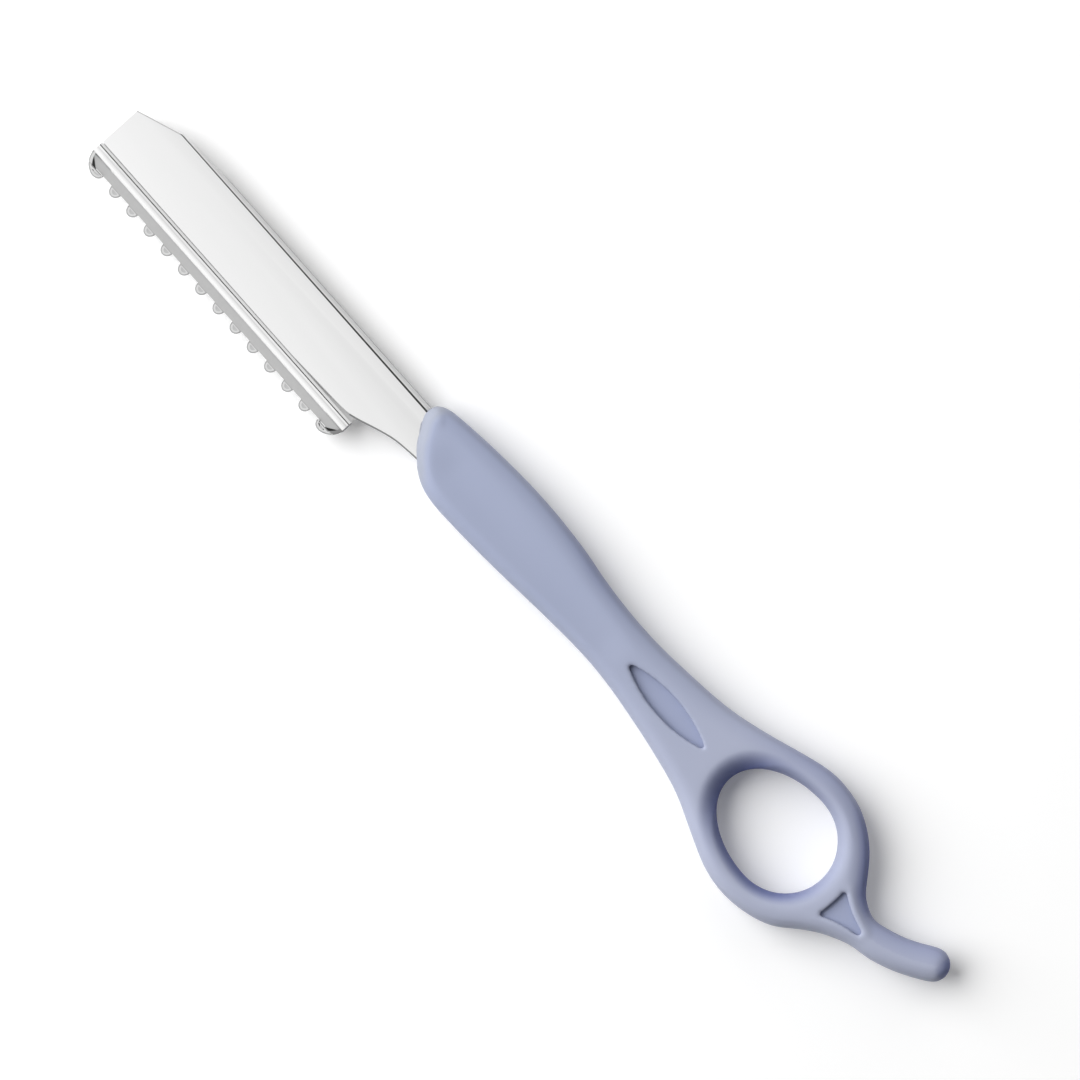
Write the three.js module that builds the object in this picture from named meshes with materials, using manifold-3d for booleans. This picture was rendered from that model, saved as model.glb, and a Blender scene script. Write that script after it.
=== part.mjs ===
// Hair thinning razor: a moulded handle with a finger ring and a curved tang,
// and a folded steel head that holds a single-edge blade behind a comb guard.
//
// Drawing frame, in millimetres: +X runs to the toe of the head, +Y to the
// cutting edge, +Z up. z = 0 is the mid-plane of the handle and of the head.
// The finished group is moved so that its origin is under the middle of its box.

import * as THREE from 'three';
import { mergeVertices } from 'three/addons/utils/BufferGeometryUtils.js';
import Module from 'manifold-3d';

// Handle: places along X, widths and axes
const noseX = 30.9;
const noseRadius = 3.1;
const noseAxisY = -0.35;
const slantSetback = 1.6;
const slantRise = 3.15;
const noseToGrip = 22.9;
const noseToWaist = 54.4;
const noseToRing = 100.2;
const gripWidth = 15.3;
const gripAxisY = 2.25;
const waistWidth = 11.45;
const waistAxisY = 2.25;

// Tang: a curved tail of even width with a blunt round end
const tangWidth = 6.45;
const ringToNeck = 21.8;
const ringToTangEnd = 34.8;
const neckY = 3.55;
const tangBendX = 6.4;
const tangBendY = 2.7;
const tangEndY = -2.18;

// Handle: thickness and edges
const handleThickness = 9;
const tailThickness = 6.8;
const noseToTaper = 50.9;
const edgeRounding = 2.4;
const roundingShare = 0.47;
const edgeLand = 0.8;
const skinThickness = 1.3;
const mouldGap = 0.1;

// Finger ring: an egg-shaped hole with a limb of even width round it
const ringAxisY = 2.95;
const ringHoleWidth = 19.2;
const ringHoleFront = 14.5;
const ringHoleRear = 10;
const ringLimb = 5.15;

// Windows in the skin: a leaf on the waist and a hollow-sided triangle by the tang
const leafFromRing = 31.8;
const leafAxisY = 2.85;
const leafLength = 20;
const leafWidth = 4.4;
const triangleFromRing = 14.1;
const triangleAxisY = 4.05;
const triangleLength = 7.9;
const triangleWidth = 7;
const triangleHollow = 0.55;
const triangleApexWidth = 1;

// Head: folded sheet with a slot for the blade
const sheetThickness = 0.6;
const spineY = -1.2;
const headWidth = 12.45;
const toeX = 105.85;
const toeChamferLength = 8.65;
const toeChamferDepth = 3.15;
const foldCutLength = 12;
const heelX = 38.1;
const heelCurveStart = 9;
const heelCurveLength = 29;
const shankDepth = 33;
const shankWidth = 7.7;
const holderFit = 0.15;

// Blade
const bladeThickness = 0.4;
const bladeWidth = 12;
const bladeFit = 0.1;
const bevelWidth = 1.5;
const edgeFlat = 0.06;
const cornerCutLength = 2.2;
const bladeEndGap = 0.4;

// Comb guard: two rails that pinch the blade, with teeth behind the edge
const railGap = 0.15;
const railFlange = 0.75;
const railFlangeHeight = 0.4;
const grooveWidth = 0.3;
const grooveDepth = 0.25;
const beadWidth = 1.6;
const beadHeight = 0.85;
const combThickness = 0.55;
const bladeReach = 1.55;
const toothReach = 1.4;
const toothWidth = 2.45;
const toothPitch = 4.67;
const endToothLength = 4.75;
const endTipSetback = 3.1;
const endCurveStart = 0.6;
const endCurveLean = 0.35;
const endCurveDrop = 0.65;
const endArmWidth = 0.65;
const edgeClearance = 0.15;

// Tang fastening inside the handle
const pinDiameter = 2.2;
const pinFit = 0.1;
const frontPinSetback = 10.5;
const rearPinInset = 9.5;
const spacerInset = 0.6;
const spacerFit = 0.08;

// Fineness of round shapes
const outlineSteps = 3;
const ringHoleSteps = 20;
const roundingSteps = 4;
const coreRoundingSteps = 2;
const windowSteps = 10;
const toothSteps = 8;
const beadSteps = 12;
const foldSteps = 10;
const sheetCurveSteps = 5;
const pinSides = 24;

// Worked-out sizes
const gripX = noseX - noseToGrip;
const waistX = noseX - noseToWaist;
const ringX = noseX - noseToRing;
const taperStartX = noseX - noseToTaper;
const tangEndX = ringX - ringToTangEnd;
const tailX = tangEndX - tangWidth / 2;
const slotHalf = bladeThickness / 2 + bladeFit;
const headHalf = slotHalf + sheetThickness;
const creaseY = spineY + headHalf;
const leafEdgeY = spineY + headWidth;
const shankEndX = noseX - shankDepth;
const railY = leafEdgeY + railGap;
const beadY = railY + railFlange;
const beadEndY = beadY + beadWidth;
const bladeEdgeY = beadEndY + bladeReach;
const bladeBackY = bladeEdgeY - bladeWidth;
const toothTipY = bladeEdgeY + toothReach;
const guardLength = toeX - heelX;
const rounding = Math.min(edgeRounding, roundingShare * Math.min(ringLimb, tangWidth));
const overshoot = handleThickness;

const wasm = await Module();
wasm.setup();

// Solids and meshes

function toSolid(geometry) {
  const plain = geometry.index ? geometry.toNonIndexed() : geometry.clone();
  plain.deleteAttribute('normal');
  plain.deleteAttribute('uv');
  const merged = mergeVertices(plain, 1e-4);
  const corners = merged.index.array;
  const kept = [];
  for (let i = 0; i < corners.length; i += 3) {
    const [a, b, c] = [corners[i], corners[i + 1], corners[i + 2]];
    if (a !== b && b !== c && c !== a) kept.push(a, b, c);
  }
  return new wasm.Manifold(new wasm.Mesh({
    numProp: 3,
    vertProperties: new Float32Array(merged.attributes.position.array),
    triVerts: new Uint32Array(kept),
  }));
}

function toMesh(name, solid, material) {
  const { vertProperties, triVerts } = solid.getMesh();
  const geometry = new THREE.BufferGeometry();
  geometry.setAttribute('position', new THREE.BufferAttribute(vertProperties, 3));
  geometry.setIndex(new THREE.BufferAttribute(triVerts, 1));
  geometry.computeVertexNormals();
  const mesh = new THREE.Mesh(geometry, material);
  mesh.name = name;
  return mesh;
}

// A plan shape (x, y) raised between two heights.
function raised(shape, bottom, top, curveSegments) {
  const options = { depth: top - bottom, bevelEnabled: false, curveSegments };
  return toSolid(new THREE.ExtrudeGeometry(shape, options).translate(0, 0, bottom));
}

// A cross-section (y, z) drawn out along X between two places.
function drawn(section, fromX, toX, curveSegments) {
  const options = { depth: toX - fromX, bevelEnabled: false, curveSegments };
  const turn = new THREE.Matrix4().makeBasis(
    new THREE.Vector3(0, 1, 0), new THREE.Vector3(0, 0, 1), new THREE.Vector3(1, 0, 0));
  const geometry = new THREE.ExtrudeGeometry(section, options).applyMatrix4(turn);
  return toSolid(geometry.translate(fromX, 0, 0));
}

function box(fromX, toX, fromY, toY, fromZ, toZ) {
  const geometry = new THREE.BoxGeometry(toX - fromX, toY - fromY, toZ - fromZ);
  geometry.translate((fromX + toX) / 2, (fromY + toY) / 2, (fromZ + toZ) / 2);
  return toSolid(geometry);
}

function uprightPin(x, y, radius, half) {
  const geometry = new THREE.CylinderGeometry(radius, radius, 2 * half, pinSides);
  return toSolid(geometry.rotateX(Math.PI / 2).translate(x, y, 0));
}

function polygon(points) {
  return new THREE.Shape(points.map(([x, y]) => new THREE.Vector2(x, y)));
}

// Handle

const lerp = THREE.MathUtils.lerp;

// Points part of the way from one place to another: each pair gives how far along X
// and how far across in Y.
function easing(from, to, pairs) {
  return pairs.map(([along, across]) => [
    lerp(from[0], to[0], along), lerp(from[1], to[1], across),
  ]);
}

// Points on one side of the tang's curved centre line; side is +1 towards the edge.
function tangSide(side, places) {
  const neck = new THREE.Vector2(ringX - ringToNeck, neckY);
  const bend = new THREE.Vector2(neck.x - tangBendX, tangBendY);
  const end = new THREE.Vector2(tangEndX, tangEndY);
  const line = new THREE.QuadraticBezierCurve(neck, bend, end);
  return places.map((place) => {
    const point = line.getPoint(place);
    const along = line.getTangent(place);
    const reach = side * tangWidth / 2;
    return [point.x + along.y * reach, point.y - along.x * reach];
  });
}

// Points on an arc, given by its middle, radius and the angles in degrees.
function arc(x, y, radius, angles) {
  return angles.map((angle) => {
    const turn = THREE.MathUtils.degToRad(angle);
    return [x + radius * Math.cos(turn), y + radius * Math.sin(turn)];
  });
}

function handleOutline() {
  const gripSpine = gripAxisY - gripWidth / 2;
  const gripEdge = gripAxisY + gripWidth / 2;
  const ringHalf = ringHoleWidth / 2 + ringLimb;
  const ringSpine = ringAxisY - ringHalf;
  const ringEdge = ringAxisY + ringHalf;
  const nose = arc(noseX - noseRadius, noseAxisY, noseRadius, [37, 8, -22, -52, -82]);
  const tip = arc(tangEndX, tangEndY, tangWidth / 2, [-55, -85, -115, -145, 185, 155, 125]);
  const gripAtSpine = [gripX, gripSpine];
  const gripAtEdge = [gripX, gripEdge];
  const waistAtSpine = [waistX, waistAxisY - waistWidth / 2];
  const waistAtEdge = [waistX, waistAxisY + waistWidth / 2];
  const ringAtSpine = [ringX, ringSpine];
  const ringAtEdge = [ringX, ringEdge];
  const tangAtSpine = tangSide(-1, [0, 0.25, 0.5, 0.75]);
  const tangAtEdge = tangSide(1, [0.75, 0.5, 0.25, 0]);
  const noseSlant = [noseX - slantSetback, noseAxisY + slantRise];
  const points = [
    // round the nose and along the spine side
    ...nose,
    ...easing(nose.at(-1), gripAtSpine, [[0.09, 0.19], [0.33, 0.5], [0.61, 0.77]]),
    gripAtSpine,
    ...easing(gripAtSpine, waistAtSpine, [[0.25, 0.03], [0.48, 0.29], [0.67, 0.7], [0.89, 0.98]]),
    ...easing(waistAtSpine, ringAtSpine, [
      [0.09, 0], [0.27, 0.08], [0.47, 0.22], [0.64, 0.47], [0.8, 0.77], [0.91, 0.95],
    ]),
    ringAtSpine,
    ...easing(ringAtSpine, tangAtSpine[0], [
      [0.22, 0.05], [0.42, 0.2], [0.58, 0.405], [0.71, 0.645], [0.83, 0.87],
    ]),
    // out along the tang, round its tip and back
    ...tangAtSpine, ...tip, ...tangAtEdge,
    // along the edge side, back to the slanted nose
    ...easing(tangAtEdge.at(-1), ringAtEdge, [
      [0.21, 0.21], [0.37, 0.455], [0.53, 0.74], [0.74, 0.92],
    ]),
    ringAtEdge,
    ...easing(ringAtEdge, waistAtEdge, [
      [0.12, 0.07], [0.25, 0.29], [0.42, 0.6], [0.6, 0.78], [0.77, 0.9], [0.92, 0.98],
    ]),
    ...easing(waistAtEdge, gripAtEdge, [[0.11, -0.01], [0.43, 0.3], [0.75, 0.74]]),
    gripAtEdge,
    ...easing(gripAtEdge, noseSlant, [
      [0.33, -0.035], [0.53, -0.01], [0.68, 0.12], [0.82, 0.38], [0.93, 0.68],
    ]),
    noseSlant,
  ];
  const shape = new THREE.Shape();
  shape.moveTo(...noseSlant);
  shape.splineThru(points.map(([x, y]) => new THREE.Vector2(x, y)));
  shape.holes.push(ringHole());
  return shape;
}

function ringHole() {
  const reach = ringHoleWidth / 2;
  const quarter = Math.PI / 2;
  const front = new THREE.EllipseCurve(
    ringX, ringAxisY, ringHoleFront, reach, -quarter, quarter);
  const rear = new THREE.EllipseCurve(
    ringX, ringAxisY, ringHoleRear, reach, quarter, 3 * quarter);
  const rim = [...front.getPoints(ringHoleSteps), ...rear.getPoints(ringHoleSteps).slice(1, -1)];
  return new THREE.Path(rim);
}

// Cuts the triangles that cross a plane of constant X, so that the faces can bend there.
function creasedAt(geometry, planeX) {
  const source = geometry.attributes.position;
  const kept = [];
  const cut = (a, b) => {
    const [low, high] = a.x < b.x ? [a, b] : [b, a];
    return low.clone().lerp(high, (planeX - low.x) / (high.x - low.x)).setX(planeX);
  };
  for (let i = 0; i < source.count; i += 3) {
    const corners = [0, 1, 2].map((k) => new THREE.Vector3().fromBufferAttribute(source, i + k));
    for (const side of [1, -1]) {
      const part = [];
      corners.forEach((from, k) => {
        const to = corners[(k + 1) % 3];
        const [fromIn, toIn] = [from, to].map((point) => side * (point.x - planeX) >= 0);
        if (fromIn) part.push(from);
        if (fromIn !== toIn) part.push(cut(from, to));
      });
      for (let k = 2; k < part.length; k += 1) kept.push(part[0], part[k - 1], part[k]);
    }
  }
  return new THREE.BufferGeometry().setFromPoints(kept);
}

// Thins everything behind the grip towards the tip of the tang.
function tapered(geometry) {
  const bent = creasedAt(geometry, taperStartX);
  const points = bent.attributes.position;
  for (let i = 0; i < points.count; i += 1) {
    const along = Math.max(0, (taperStartX - points.getX(i)) / (taperStartX - tailX));
    points.setZ(i, points.getZ(i) * lerp(1, tailThickness / handleThickness, along));
  }
  return bent;
}

// The handle's outer form, or the same form drawn in all round by an inset.
function handleForm(inset, steps) {
  const bevelSize = rounding - inset;
  const geometry = new THREE.ExtrudeGeometry(handleOutline(), {
    depth: edgeLand,
    curveSegments: outlineSteps,
    bevelSegments: steps,
    bevelSize,
    bevelThickness: (handleThickness - edgeLand) / 2 - inset,
    bevelOffset: -inset - bevelSize,
  });
  return toSolid(tapered(geometry.translate(0, 0, -edgeLand / 2)));
}

function leafWindow() {
  const x = ringX + leafFromRing;
  const half = leafLength / 2;
  const rise = leafWidth / 2;
  const radius = (half * half + rise * rise) / (2 * rise);
  const sweep = Math.asin(half / radius);
  const up = Math.PI / 2;
  const shape = new THREE.Shape();
  shape.absarc(x, leafAxisY + radius - rise, radius, -up - sweep, -up + sweep);
  shape.absarc(x, leafAxisY - radius + rise, radius, up - sweep, up + sweep);
  return shape;
}

function triangleWindow() {
  const base = ringX - triangleFromRing;
  const apex = base - triangleLength;
  const middle = (base + apex) / 2 + triangleHollow;
  const low = triangleAxisY - triangleWidth / 2;
  const high = triangleAxisY + triangleWidth / 2;
  const pull = triangleWidth / 4 - triangleHollow;
  const shape = new THREE.Shape();
  shape.moveTo(base, low);
  shape.quadraticCurveTo(base - triangleHollow, triangleAxisY, base, high);
  shape.quadraticCurveTo(
    middle, triangleAxisY + pull, apex, triangleAxisY + triangleApexWidth / 2);
  shape.lineTo(apex, triangleAxisY - triangleApexWidth / 2);
  shape.quadraticCurveTo(middle, triangleAxisY - pull, base, low);
  return shape;
}

// Head: folded sheet

// Plan of one leaf with its shank, let out or taken in along its lower edge.
function sheetPlan(grow) {
  const shankEdge = spineY + shankWidth + grow;
  const curveX = heelX + heelCurveStart;
  const heelCurve = easing([curveX, leafEdgeY + grow], [curveX - heelCurveLength, shankEdge], [
    [0.21, 0.06], [0.31, 0.21], [0.435, 0.5], [0.55, 0.73], [0.66, 0.84], [0.79, 0.92], [1, 1],
  ]).map(([x, y]) => new THREE.Vector2(x, y));
  const shape = new THREE.Shape();
  const foldEndX = toeX - toeChamferLength;
  shape.moveTo(shankEndX - grow, spineY - overshoot);
  shape.lineTo(foldEndX - foldCutLength, spineY - overshoot);
  shape.lineTo(foldEndX - foldCutLength, spineY);
  shape.lineTo(foldEndX, creaseY);
  shape.lineTo(toeX, creaseY + toeChamferDepth);
  shape.lineTo(toeX, leafEdgeY + grow);
  shape.lineTo(curveX, leafEdgeY + grow);
  shape.splineThru(heelCurve);
  shape.lineTo(shankEndX - grow, shankEdge);
  return shape;
}

// Section across the fold: two leaves joined by a round spine.
function foldSection() {
  const reach = leafEdgeY + overshoot;
  const quarter = Math.PI / 2;
  const shape = new THREE.Shape();
  shape.moveTo(reach, headHalf);
  shape.absarc(creaseY, 0, headHalf, quarter, 3 * quarter);
  shape.lineTo(reach, -headHalf);
  shape.lineTo(reach, -slotHalf);
  shape.absarc(creaseY, 0, slotHalf, 3 * quarter, quarter, true);
  shape.lineTo(reach, slotHalf);
  return shape;
}

const pinPlaces = [noseX - frontPinSetback, shankEndX + rearPinInset];
const pinY = spineY + shankWidth / 2;

function pinHoles(solid) {
  const radius = pinDiameter / 2 + pinFit;
  return pinPlaces.reduce(
    (left, x) => left.subtract(uprightPin(x, pinY, radius, handleThickness)), solid);
}

function bladeHolder() {
  const fold = drawn(foldSection(), shankEndX, toeX, foldSteps);
  const plan = raised(sheetPlan(0), -handleThickness, handleThickness, sheetCurveSteps);
  return pinHoles(fold.intersect(plan));
}

function tangSpacer() {
  const half = slotHalf - spacerFit;
  const plan = raised(sheetPlan(-spacerInset), -half, half, sheetCurveSteps);
  const room = box(shankEndX, heelX, creaseY + spacerFit, leafEdgeY, -overshoot, overshoot);
  return pinHoles(plan.intersect(room));
}

// Blade

function blade() {
  const half = bladeThickness / 2;
  const bevelY = bladeEdgeY - bevelWidth;
  const fromX = heelX + bladeEndGap;
  const toX = toeX - bladeEndGap;
  const section = polygon([
    [bladeBackY, -half], [bevelY, -half], [bladeEdgeY, -edgeFlat / 2],
    [bladeEdgeY, edgeFlat / 2], [bevelY, half], [bladeBackY, half],
  ]);
  const plan = polygon([
    [fromX, bladeBackY], [toX, bladeBackY], [toX, bevelY], [toX - cornerCutLength, bladeEdgeY],
    [fromX + cornerCutLength, bladeEdgeY], [fromX, bevelY],
  ]);
  return drawn(section, fromX, toX, 1).intersect(raised(plan, -half, half, 1));
}

// Comb guard

// Section of one rail: a flat flange, a groove and a round bead; side is +1 in front of the blade.
function railSection(side) {
  const base = side * slotHalf;
  const flangeTop = base + side * railFlangeHeight;
  const grooveFloor = flangeTop - side * grooveDepth;
  const sweep = side * (Math.PI - Math.asin((railFlangeHeight - grooveDepth) / beadHeight));
  const shape = new THREE.Shape();
  shape.moveTo(railY, base);
  shape.lineTo(beadEndY, base);
  shape.absellipse(
    beadY + beadWidth / 2, base, beadWidth / 2, beadHeight, 0, sweep, side < 0);
  shape.lineTo(beadY - grooveWidth, grooveFloor);
  shape.lineTo(beadY - grooveWidth, flangeTop);
  shape.lineTo(railY, flangeTop);
  return shape;
}

// Outer curve of an end tooth, from the rail round to the tip; side is +1 at the heel.
function endCurve(path, endX, side, inset) {
  path.quadraticCurveTo(
    endX + side * (endCurveLean + inset), toothTipY - endCurveDrop - inset,
    endX + side * endTipSetback, toothTipY - inset);
}

function endToothShape(endX, side) {
  const flankX = endX + side * endToothLength;
  const shape = new THREE.Shape();
  shape.moveTo(endX, beadY);
  shape.lineTo(endX, beadEndY - endCurveStart);
  endCurve(shape, endX, side, 0);
  shape.quadraticCurveTo(flankX, toothTipY, flankX, bladeEdgeY);
  shape.lineTo(flankX, beadY);
  return shape;
}

// Cut that leaves only a narrow arm of the end tooth in front of the blade's corner.
function endCutShape(endX, side) {
  const farX = endX + side * (endToothLength + overshoot);
  const shape = new THREE.Shape();
  shape.moveTo(endX + side * endArmWidth, beadEndY - endCurveStart);
  endCurve(shape, endX, side, endArmWidth);
  shape.lineTo(farX, toothTipY - endArmWidth);
  shape.lineTo(farX, beadEndY - endCurveStart);
  return shape;
}

function toothShape(x) {
  const shape = new THREE.Shape();
  shape.moveTo(x - toothWidth / 2, bladeEdgeY - bladeReach);
  shape.lineTo(x + toothWidth / 2, bladeEdgeY - bladeReach);
  shape.absellipse(x, bladeEdgeY, toothWidth / 2, toothReach, 0, Math.PI);
  return shape;
}

function combGuard() {
  const frontRail = drawn(railSection(1), heelX, toeX, beadSteps);
  const backRail = drawn(railSection(-1), heelX, toeX, beadSteps);
  const front = slotHalf + combThickness;
  const backLayer = (shape) => raised(shape, -front, -slotHalf, toothSteps);
  const inset = endCurveLean + endArmWidth;
  const combPlan = polygon([
    [heelX, beadY], [toeX, beadY], [toeX, beadEndY - endCurveStart], [toeX - inset, bladeEdgeY],
    [heelX + inset, bladeEdgeY], [heelX, beadEndY - endCurveStart],
  ]);
  let guard = frontRail.add(backRail).add(backLayer(combPlan));

  const toothRoom = guardLength - 2 * endToothLength - (toothPitch - toothWidth);
  const toothCount = Math.round(toothRoom / toothPitch);
  const firstX = (heelX + toeX - (toothCount - 1) * toothPitch) / 2;
  for (let i = 0; i < toothCount; i += 1) {
    guard = guard.add(backLayer(toothShape(firstX + i * toothPitch)));
  }

  const bridge = box(
    heelX - overshoot, toeX + overshoot, bladeEdgeY + edgeClearance, toothTipY + overshoot,
    -front, front);
  for (const [endX, side] of [[heelX, 1], [toeX, -1]]) {
    const plan = endToothShape(endX, side);
    const cut = raised(endCutShape(endX, side), -overshoot, overshoot, toothSteps);
    const arm = raised(plan, slotHalf, front, toothSteps).subtract(cut);
    const link = raised(plan, -front, front, toothSteps).intersect(bridge);
    guard = guard.add(backLayer(plan)).add(arm).add(link);
  }
  return guard;
}

// Skin and core of the handle

function holderSlot() {
  const half = headHalf + holderFit;
  const room = box(
    shankEndX - overshoot, toeX, spineY - holderFit, leafEdgeY, -half, half);
  return raised(sheetPlan(holderFit), -half, half, sheetCurveSteps).intersect(room);
}

function gripSkin() {
  const outer = handleForm(0, roundingSteps);
  const inner = handleForm(skinThickness, coreRoundingSteps);
  const inside = (tailThickness / 2 - skinThickness) / 2;
  let skin = outer.subtract(inner).subtract(holderSlot());
  for (const shape of [leafWindow(), triangleWindow()]) {
    skin = skin.subtract(raised(shape, inside, handleThickness, windowSteps));
    skin = skin.subtract(raised(shape, -handleThickness, -inside, windowSteps));
  }
  return skin;
}

function handleCore() {
  const core = handleForm(skinThickness + mouldGap, coreRoundingSteps);
  return pinHoles(core.subtract(holderSlot()));
}

function tangPin(x) {
  const half = handleThickness / 2 - skinThickness - 2 * mouldGap;
  return uprightPin(x, pinY, pinDiameter / 2, half);
}

// Finishes

const steel = (color, roughness) => new THREE.MeshStandardMaterial({
  color, roughness, metalness: 1,
});
const plastic = (color, roughness) => new THREE.MeshStandardMaterial({
  color, roughness, metalness: 0,
});

const razor = new THREE.Group();
razor.add(
  toMesh('grip_skin', gripSkin(), plastic(0xaeb3d0, 0.6)),
  toMesh('handle_core', handleCore(), plastic(0x9ba1c6, 0.5)),
  toMesh('blade_holder', bladeHolder(), steel(0xdfe1e3, 0.16)),
  toMesh('tang_spacer', tangSpacer(), steel(0xb4b7ba, 0.4)),
  toMesh('tang_pin_front', tangPin(pinPlaces[0]), steel(0xb9bcc0, 0.35)),
  toMesh('tang_pin_rear', tangPin(pinPlaces[1]), steel(0xb9bcc0, 0.35)),
  toMesh('blade', blade(), steel(0xa9acb0, 0.35)),
  toMesh('comb_guard', combGuard(), steel(0xe4e6e8, 0.18)),
);

const bounds = new THREE.Box3().setFromObject(razor);
const middle = bounds.getCenter(new THREE.Vector3());
razor.position.set(-middle.x, -middle.y, -bounds.min.z);
razor.updateMatrixWorld(true);

export default razor;
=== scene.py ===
# %% [markdown]
# # A hair thinning razor, dressed for its photograph
#
# The construction is already fixed: a folded steel head, a blade, a comb guard and a moulded
# handle, each a solid at its real size. This lesson gives those solids their surfaces. We load
# them first and keep the box that they fill, because nothing we add may make the razor bigger.

# %% Load the fixed frame
import math

import bmesh
import bpy
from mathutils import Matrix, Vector
from mathutils.bvhtree import BVHTree
from mathutils.kdtree import KDTree


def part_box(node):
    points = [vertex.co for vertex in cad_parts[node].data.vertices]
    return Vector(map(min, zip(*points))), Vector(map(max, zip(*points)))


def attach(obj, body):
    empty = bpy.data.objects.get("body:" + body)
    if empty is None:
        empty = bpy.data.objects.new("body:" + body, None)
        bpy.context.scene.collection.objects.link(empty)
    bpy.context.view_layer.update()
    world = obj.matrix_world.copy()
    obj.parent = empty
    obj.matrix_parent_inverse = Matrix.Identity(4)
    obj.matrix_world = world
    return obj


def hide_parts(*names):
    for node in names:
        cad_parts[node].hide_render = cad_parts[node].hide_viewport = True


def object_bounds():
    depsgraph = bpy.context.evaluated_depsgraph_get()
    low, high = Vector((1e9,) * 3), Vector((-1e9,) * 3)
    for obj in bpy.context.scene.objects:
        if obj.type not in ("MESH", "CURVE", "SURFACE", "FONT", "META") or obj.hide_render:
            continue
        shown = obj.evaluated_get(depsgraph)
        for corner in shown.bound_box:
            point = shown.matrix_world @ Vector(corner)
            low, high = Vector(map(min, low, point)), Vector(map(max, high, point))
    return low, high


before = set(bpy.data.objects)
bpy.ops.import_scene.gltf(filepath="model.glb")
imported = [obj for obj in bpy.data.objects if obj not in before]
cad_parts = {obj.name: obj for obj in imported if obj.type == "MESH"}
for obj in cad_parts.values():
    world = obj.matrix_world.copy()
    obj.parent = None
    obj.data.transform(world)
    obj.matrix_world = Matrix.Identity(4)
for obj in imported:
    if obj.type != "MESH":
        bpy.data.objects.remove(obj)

MM = 0.001
LEVEL = 0.05 * MM  # places that differ by less count as level
cad_low, cad_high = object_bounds()
print("CAD box in mm:", [round(side / MM, 2) for side in cad_high - cad_low])

# %% [markdown]
# ## The camera
#
# The photograph looks straight down on the razor with a long lens, so lines stay parallel. The
# razor lies across the picture with its toe at the upper left. We could drag a camera until it
# looks right. It is surer to measure: one pixel is 0.18 mm, and the long axis lies 48.4 degrees
# below the horizontal. From these, the place and the focal length follow.

# %% Camera over the middle of the picture
PHOTO_PIXELS = 1080
PIXEL = 0.18 * MM
AXIS_TILT = math.radians(48.4)
CENTRE_TO_TOE = 105.85 * MM
CENTRE_TO_LEAF_EDGE = 11.25 * MM
CAMERA_DISTANCE = 1.6

scene = bpy.context.scene
holder_low, holder_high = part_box("blade_holder")
mid_height = (holder_low.z + holder_high.z) / 2
picture_centre = Vector((
    holder_high.x - CENTRE_TO_TOE,
    holder_high.y - CENTRE_TO_LEAF_EDGE,
    mid_height,
))

lens = bpy.data.cameras.new("camera")
lens.type = "PERSP"
lens.lens = lens.sensor_width * CAMERA_DISTANCE / (PHOTO_PIXELS * PIXEL)
camera = bpy.data.objects.new("camera", lens)
camera.location = picture_centre + Vector((0, 0, CAMERA_DISTANCE))
camera.rotation_euler = (0, 0, AXIS_TILT + math.pi)
scene.collection.objects.link(camera)
scene.camera = camera
print("focal length in mm:", round(lens.lens, 1))

# %% [markdown]
# ## The studio
#
# A product table: white paper, a large soft lamp beyond the toe, and a weaker one on the spine
# side that opens the shadows. The paper glows a little for the camera alone, so that it is white
# while it keeps the razor's shadow. Polished steel needs something to mirror. It could mirror
# the lamps, but their rims would show as hard spots. So the lamps are hidden from mirrors, and
# the steel sees a room that is graded from a grey horizon to a bright ceiling. That grading
# draws the steel's edges.

# %% Paper floor
FLOOR_HALF = 2.0
FLOOR_GAP = 0.02 * MM
PAPER_WHITE = 0.95
PAPER_GLOW = 0.12
PAPER_BOUNCE = 0.8


def diffuse(tree, level):
    node = tree.nodes.new("ShaderNodeBsdfDiffuse")
    node.inputs["Color"].default_value = (level, level, level, 1)
    return node.outputs[0]


def white_paper():
    """Paper that glows for the camera, and only scatters light for everything else."""
    paper = bpy.data.materials.new("white_paper")
    paper.use_nodes = True
    tree = paper.node_tree
    tree.nodes.remove(tree.nodes["Principled BSDF"])
    glow = tree.nodes.new("ShaderNodeEmission")
    glow.inputs["Strength"].default_value = PAPER_GLOW
    seen = tree.nodes.new("ShaderNodeAddShader")
    tree.links.new(diffuse(tree, PAPER_WHITE), seen.inputs[0])
    tree.links.new(glow.outputs[0], seen.inputs[1])
    path = tree.nodes.new("ShaderNodeLightPath")
    choice = tree.nodes.new("ShaderNodeMixShader")
    tree.links.new(path.outputs["Is Camera Ray"], choice.inputs["Fac"])
    tree.links.new(diffuse(tree, PAPER_BOUNCE), choice.inputs[1])
    tree.links.new(seen.outputs[0], choice.inputs[2])
    tree.links.new(choice.outputs[0], tree.nodes["Material Output"].inputs["Surface"])
    return paper


def make_floor(height):
    bm = bmesh.new()
    bmesh.ops.create_grid(bm, x_segments=1, y_segments=1, size=FLOOR_HALF)
    bmesh.ops.translate(bm, verts=bm.verts, vec=(0, 0, height))
    mesh = bpy.data.meshes.new("paper_floor")
    bm.to_mesh(mesh)
    bm.free()
    mesh.materials.append(white_paper())
    floor = bpy.data.objects.new("paper_floor", mesh)
    scene.collection.objects.link(floor)
    print("floor at", round(height / MM, 3), "mm")


make_floor(cad_low.z - FLOOR_GAP)
scene.view_settings.view_transform = "Standard"

# %% Soft lamps
LAMP_DISTANCE = 1.3
LAMP_SIZE = 1.6
KEY_TURN = math.radians(28)
KEY_ELEVATION = math.radians(42)
KEY_POWER = 27.8
FILL_TURN = math.radians(-60)
FILL_ELEVATION = math.radians(30)
FILL_POWER = 5.9


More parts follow.
